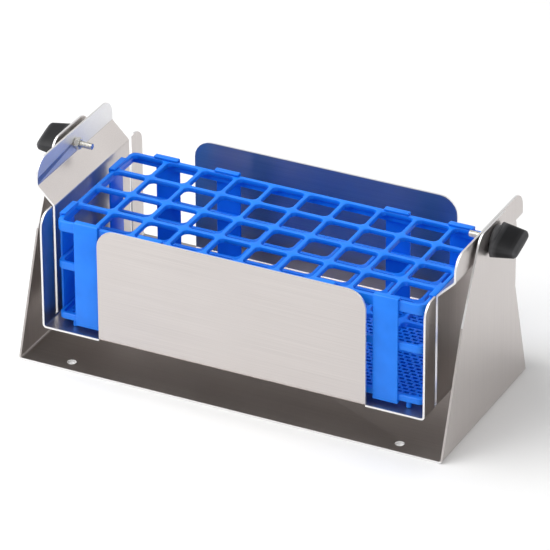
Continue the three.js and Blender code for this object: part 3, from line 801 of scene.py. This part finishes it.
def add_rim(mesh, node):
    """Closes a grid's open border with a deeper rim that has rounded corners and edges."""
    low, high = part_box(node)
    half_length = (high[0] - low[0]) / 2
    half_width = (high[1] - low[1]) / 2
    shape = bmesh.new()
    shape.from_mesh(mesh)
    border = [edge for edge in shape.edges if len(edge.link_faces) == 1]
    middle = high[2] - BAR_HEIGHT / 2
    upper = [edge for edge in border if edge.verts[0].co.z > middle]
    lower = {}
    for edge in border:
        for vert in edge.verts:
            if vert.co.z < middle:
                lower[plan_place(vert)] = vert
    full = RIM_ROUNDING
    part = ROUND_MIDDLE * RIM_ROUNDING
    stations = (
        (full, high[2]), (part, high[2] - part), (0.0, high[2] - full),
        (0.0, low[2] + full), (part, low[2] + part), (full, low[2]),
    )
    columns = {}
    for edge in upper:
        for vert in edge.verts:
            if vert in columns:
                continue
            ring = [vert]
            for inset, z in stations:
                flat = on_rim(vert.co, half_length - inset, half_width - inset, RIM_CORNER_RADIUS - inset)
                ring.append(shape.verts.new((flat.x, flat.y, z)))
            ring.append(shape.verts.new((vert.co.x, vert.co.y, low[2])))
            ring.append(lower[plan_place(vert)])
            columns[vert] = ring
    for edge in upper:
        first, second = (columns[vert] for vert in edge.verts)
        for i in range(len(first) - 1):
            shape.faces.new((first[i], first[i + 1], second[i + 1], second[i]))
    bmesh.ops.recalc_face_normals(shape, faces=shape.faces[:])
    shape.to_mesh(mesh)
    shape.free()


cells_tree, cells_inputs = repeated_cells_tree(blue)
cell_holder = mesh_object("rack_cell", cell_mesh(BAR_HEIGHT))
for node in ("rack_top_grid", "rack_middle_grid"):
    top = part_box(node)[1][2]
    mesh = grown(node + "_moulded", cells_tree, cells_inputs, {
        "Cell": cell_holder, "Pitch": cell_pitch, "Columns": COLUMNS, "Rows": ROWS,
        "Centre": (rack_centre.x, rack_centre.y, top),
    }, blue)
    add_rim(mesh, node)
    mesh.shade_smooth()
    mesh.set_sharp_from_angle(angle=GRID_SHARP_ANGLE)
    grid = mesh_object(node + "_moulded", mesh)
    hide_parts(node)
    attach(grid, "rack")
bpy.data.objects.remove(cell_holder)

# ---------------------------------------------------------------- rack shelf
# The bottom tier is a moulded tray with a low rim and six short feet. Its floor is pierced all over
# by small slots in a brick pattern, so that racks and tubes drain.

SLOTS_PER_CELL = (5, 7)
SLOT_SIZE = (0.0040, 0.0023)
FLOOR_THICKNESS = 0.002
FLOOR_RECESS = 0.0002           # the floor's underside stands this far above the rim's
SHELF_RISE = 0.005
SHELF_RIM = 0.0025
SMALLEST_CORNER = 0.001
FOOT_RADIUS = 0.002
FOOT_TIP = 0.8                  # the tip's radius, and the height that it narrows over,
FOOT_TAPER = 0.2                # as shares of the foot's radius
FOOT_SEGMENTS = 24
FOOT_GAP = 0.0006               # between an end foot and the strip beside it


def slotted_plate_tree(finish):
    """A rounded plate pierced by rows of slots, every second row moved along by half a pitch."""
    tree = bpy.data.node_groups.new("slotted_plate", "GeometryNodeTree")
    names = {name: tree_input(tree, name, "NodeSocketFloat") for name in (
        "Length", "Width", "Corner", "Thickness", "Slot Length", "Slot Width", "Pitch X", "Pitch Y",
    )}
    names["Columns"] = tree_input(tree, "Columns", "NodeSocketInt")
    names["Rows"] = tree_input(tree, "Rows", "NodeSocketInt")
    names["Centre"] = tree_input(tree, "Centre", "NodeSocketVector")
    tree.interface.new_socket("Geometry", in_out="OUTPUT", socket_type="NodeSocketGeometry")
    given = make(tree, "NodeGroupInput").outputs
    outline = make(tree, "GeometryNodeCurvePrimitiveQuadrilateral", {
        "Width": given["Length"], "Height": given["Width"],
    })
    rounded = make(tree, "GeometryNodeFilletCurve", {
        "Curve": outline.outputs[0], "Count": CORNER_STEPS, "Radius": given["Corner"],
    }, mode="POLY")
    slot = make(tree, "GeometryNodeCurvePrimitiveQuadrilateral", {
        "Width": given["Slot Length"], "Height": given["Slot Width"],
    })
    points, spans = point_grid(tree, given, "Pitch X", "Pitch Y")
    place = make(tree, "GeometryNodeInputPosition").outputs[0]
    height = make(tree, "ShaderNodeSeparateXYZ", {"Vector": place}).outputs["Y"]
    half_span = make(tree, "ShaderNodeMath", {0: spans[1], 1: 0.5}, operation="MULTIPLY")
    from_edge = make(tree, "ShaderNodeMath", {0: height, 1: half_span.outputs[0]}, operation="ADD")
    row = make(tree, "ShaderNodeMath", {0: from_edge.outputs[0], 1: given["Pitch Y"]}, operation="DIVIDE")
    whole = make(tree, "ShaderNodeMath", {0: row.outputs[0]}, operation="ROUND")
    odd = make(tree, "ShaderNodeMath", {0: whole.outputs[0], 1: 2.0}, operation="MODULO")
    side = make(tree, "ShaderNodeMath", {0: odd.outputs[0], 1: 0.5}, operation="SUBTRACT")
    half = make(tree, "ShaderNodeMath", {0: side.outputs[0], 1: 0.5}, operation="MULTIPLY")
    move = make(tree, "ShaderNodeMath", {0: half.outputs[0], 1: given["Pitch X"]}, operation="MULTIPLY")
    offset = make(tree, "ShaderNodeCombineXYZ", {"X": move.outputs[0]})
    bricks = make(tree, "GeometryNodeSetPosition", {
        "Geometry": points.outputs[0], "Offset": offset.outputs[0],
    })
    copies = make(tree, "GeometryNodeInstanceOnPoints", {
        "Points": bricks.outputs[0], "Instance": slot.outputs[0],
    })
    plain = make(tree, "GeometryNodeRealizeInstances", {"Geometry": copies.outputs[0]})
    curves = make(tree, "GeometryNodeJoinGeometry")
    tree.links.new(plain.outputs[0], curves.inputs[0])
    tree.links.new(rounded.outputs[0], curves.inputs[0])
    filled = make(tree, "GeometryNodeFillCurve", {"Curve": curves.outputs[0]})
    raised = make(tree, "GeometryNodeExtrudeMesh", {
        "Mesh": filled.outputs[0], "Offset Scale": given["Thickness"], "Individual": False,
    })
    under = make(tree, "GeometryNodeFlipFaces", {"Mesh": filled.outputs[0]})
    both = make(tree, "GeometryNodeJoinGeometry")
    tree.links.new(raised.outputs[0], both.inputs[0])
    tree.links.new(under.outputs[0], both.inputs[0])
    welded = make(tree, "GeometryNodeMergeByDistance", {
        "Geometry": both.outputs[0], "Distance": WELD_DISTANCE,
    })
    placed = make(tree, "GeometryNodeTransform", {
        "Geometry": welded.outputs[0], "Translation": given["Centre"],
    })
    whole_plate = make(tree, "GeometryNodeRealizeInstances", {"Geometry": placed.outputs[0]})
    done = make(tree, "GeometryNodeSetMaterial", {"Geometry": whole_plate.outputs[0], "Material": finish})
    make(tree, "NodeGroupOutput", {"Geometry": done.outputs[0]})
    return tree, names


def rounded_outline(half_length, half_width, radius):
    """Points round a rectangle with rounded corners, about the rack's centre."""
    points = []
    for way_x, way_y, start in ((1, 1, 0.0), (-1, 1, 0.5), (-1, -1, 1.0), (1, -1, 1.5)):
        for i in range(CORNER_STEPS + 1):
            turn = math.pi * (start + 0.5 * i / CORNER_STEPS)
            points.append(Vector((
                rack_centre.x + way_x * (half_length - radius) + radius * math.cos(turn),
                rack_centre.y + way_y * (half_width - radius) + radius * math.sin(turn),
            )))
    return points


def add_ring(shape, half_length, half_width, wall, low, high, edge):
    """A closed upright ring of this wall thickness, with its outer edges chamfered."""
    profile = (
        (edge, low), (0.0, low + edge), (0.0, high - edge),
        (edge, high), (wall, high), (wall, low),
    )
    loops = []
    for inset, z in profile:
        radius = max(RIM_CORNER_RADIUS - inset, SMALLEST_CORNER)
        outline = rounded_outline(half_length - inset, half_width - inset, radius)
        loops.append([shape.verts.new((point.x, point.y, z)) for point in outline])
    bridge_rings(shape, loops + loops[:1])


def add_foot(shape, x, y, low, high):
    """A short round foot, a little narrower at its tip."""
    profile = (
        (FOOT_TIP * FOOT_RADIUS, low), (FOOT_RADIUS, low + FOOT_TAPER * FOOT_RADIUS), (FOOT_RADIUS, high),
    )
    rings = []
    for radius, z in profile:
        ring = []
        for i in range(FOOT_SEGMENTS):
            turn = 2 * math.pi * i / FOOT_SEGMENTS
            ring.append(shape.verts.new((x + radius * math.cos(turn), y + radius * math.sin(turn), z)))
        rings.append(ring)
    skin_rings(shape, rings)


shelf_low, shelf_high = (Vector(corner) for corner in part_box("rack_bottom_shelf"))
underside = shelf_high.z - SHELF_RISE
half_length = (shelf_high.x - shelf_low.x) / 2
half_width = (shelf_high.y - shelf_low.y) / 2
slots_tree, slots_inputs = slotted_plate_tree(blue)
mesh = grown("rack_bottom_shelf_moulded", slots_tree, slots_inputs, {
    "Length": 2 * (half_length - SHELF_RIM / 2), "Width": 2 * (half_width - SHELF_RIM / 2),
    "Corner": RIM_CORNER_RADIUS - SHELF_RIM / 2, "Thickness": FLOOR_THICKNESS - FLOOR_RECESS,
    "Slot Length": SLOT_SIZE[0], "Slot Width": SLOT_SIZE[1],
    "Pitch X": cell_pitch / SLOTS_PER_CELL[0], "Pitch Y": cell_pitch / SLOTS_PER_CELL[1],
    "Columns": COLUMNS * SLOTS_PER_CELL[0] - 1, "Rows": ROWS * SLOTS_PER_CELL[1] - 1,
    "Centre": (rack_centre.x, rack_centre.y, underside + FLOOR_RECESS),
}, blue)
shape = bmesh.new()
shape.from_mesh(mesh)
add_ring(shape, half_length, half_width, SHELF_RIM, underside, shelf_high.z, RIM_ROUNDING)
outer_strip_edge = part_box("rear_strip_4")[1][0] - rack_centre.x
foot_x = outer_strip_edge + FOOT_GAP + FOOT_RADIUS
foot_y = half_width - FOOT_RADIUS - GRID_BAR / 2
for x in (-foot_x, 0.0, foot_x):
    for y in (-foot_y, foot_y):
        add_foot(shape, rack_centre.x + x, rack_centre.y + y, shelf_low.z, underside + FLOOR_THICKNESS / 2)
bmesh.ops.recalc_face_normals(shape, faces=shape.faces[:])
shape.to_mesh(mesh)
shape.free()
mesh.shade_smooth()
mesh.set_sharp_from_angle(angle=SMOOTH_ANGLE)
shelf = mesh_object("rack_bottom_shelf_moulded", mesh)
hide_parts("rack_bottom_shelf")
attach(shelf, "rack")

# ---------------------------------------------------------------- rack strips
# Twelve flat moulded uprights snap over the rim of the top grid and under the shelf, and hold the
# three tiers apart. Each is a plain strip with a short hook at both ends, its edges softly rounded.

STRIP_ROUNDING = 0.0005
STRIP_ROUNDING_STEPS = 3
ROUNDED_ANGLE = math.radians(40)  # edges that turn by more than this are rounded


def strip_piece(node):
    """A strip made from its node, with its edges rounded."""
    mesh = merged_copy(node)
    mesh.materials.clear()
    mesh.materials.append(blue)
    piece = mesh_object(node + "_moulded", mesh)
    modifier = piece.modifiers.new("rounding", "BEVEL")
    modifier.width = STRIP_ROUNDING
    modifier.segments = STRIP_ROUNDING_STEPS
    modifier.limit_method = "ANGLE"
    modifier.angle_limit = ROUNDED_ANGLE
    ready = piece.evaluated_get(bpy.context.evaluated_depsgraph_get())
    rounded = bpy.data.meshes.new_from_object(ready)
    piece.modifiers.clear()
    piece.data = rounded
    rounded.shade_smooth()
    rounded.set_sharp_from_angle(angle=SMOOTH_ANGLE)
    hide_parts(node)
    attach(piece, "rack")


for name in sorted(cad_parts):
    if "_strip_" in name:
        strip_piece(name)
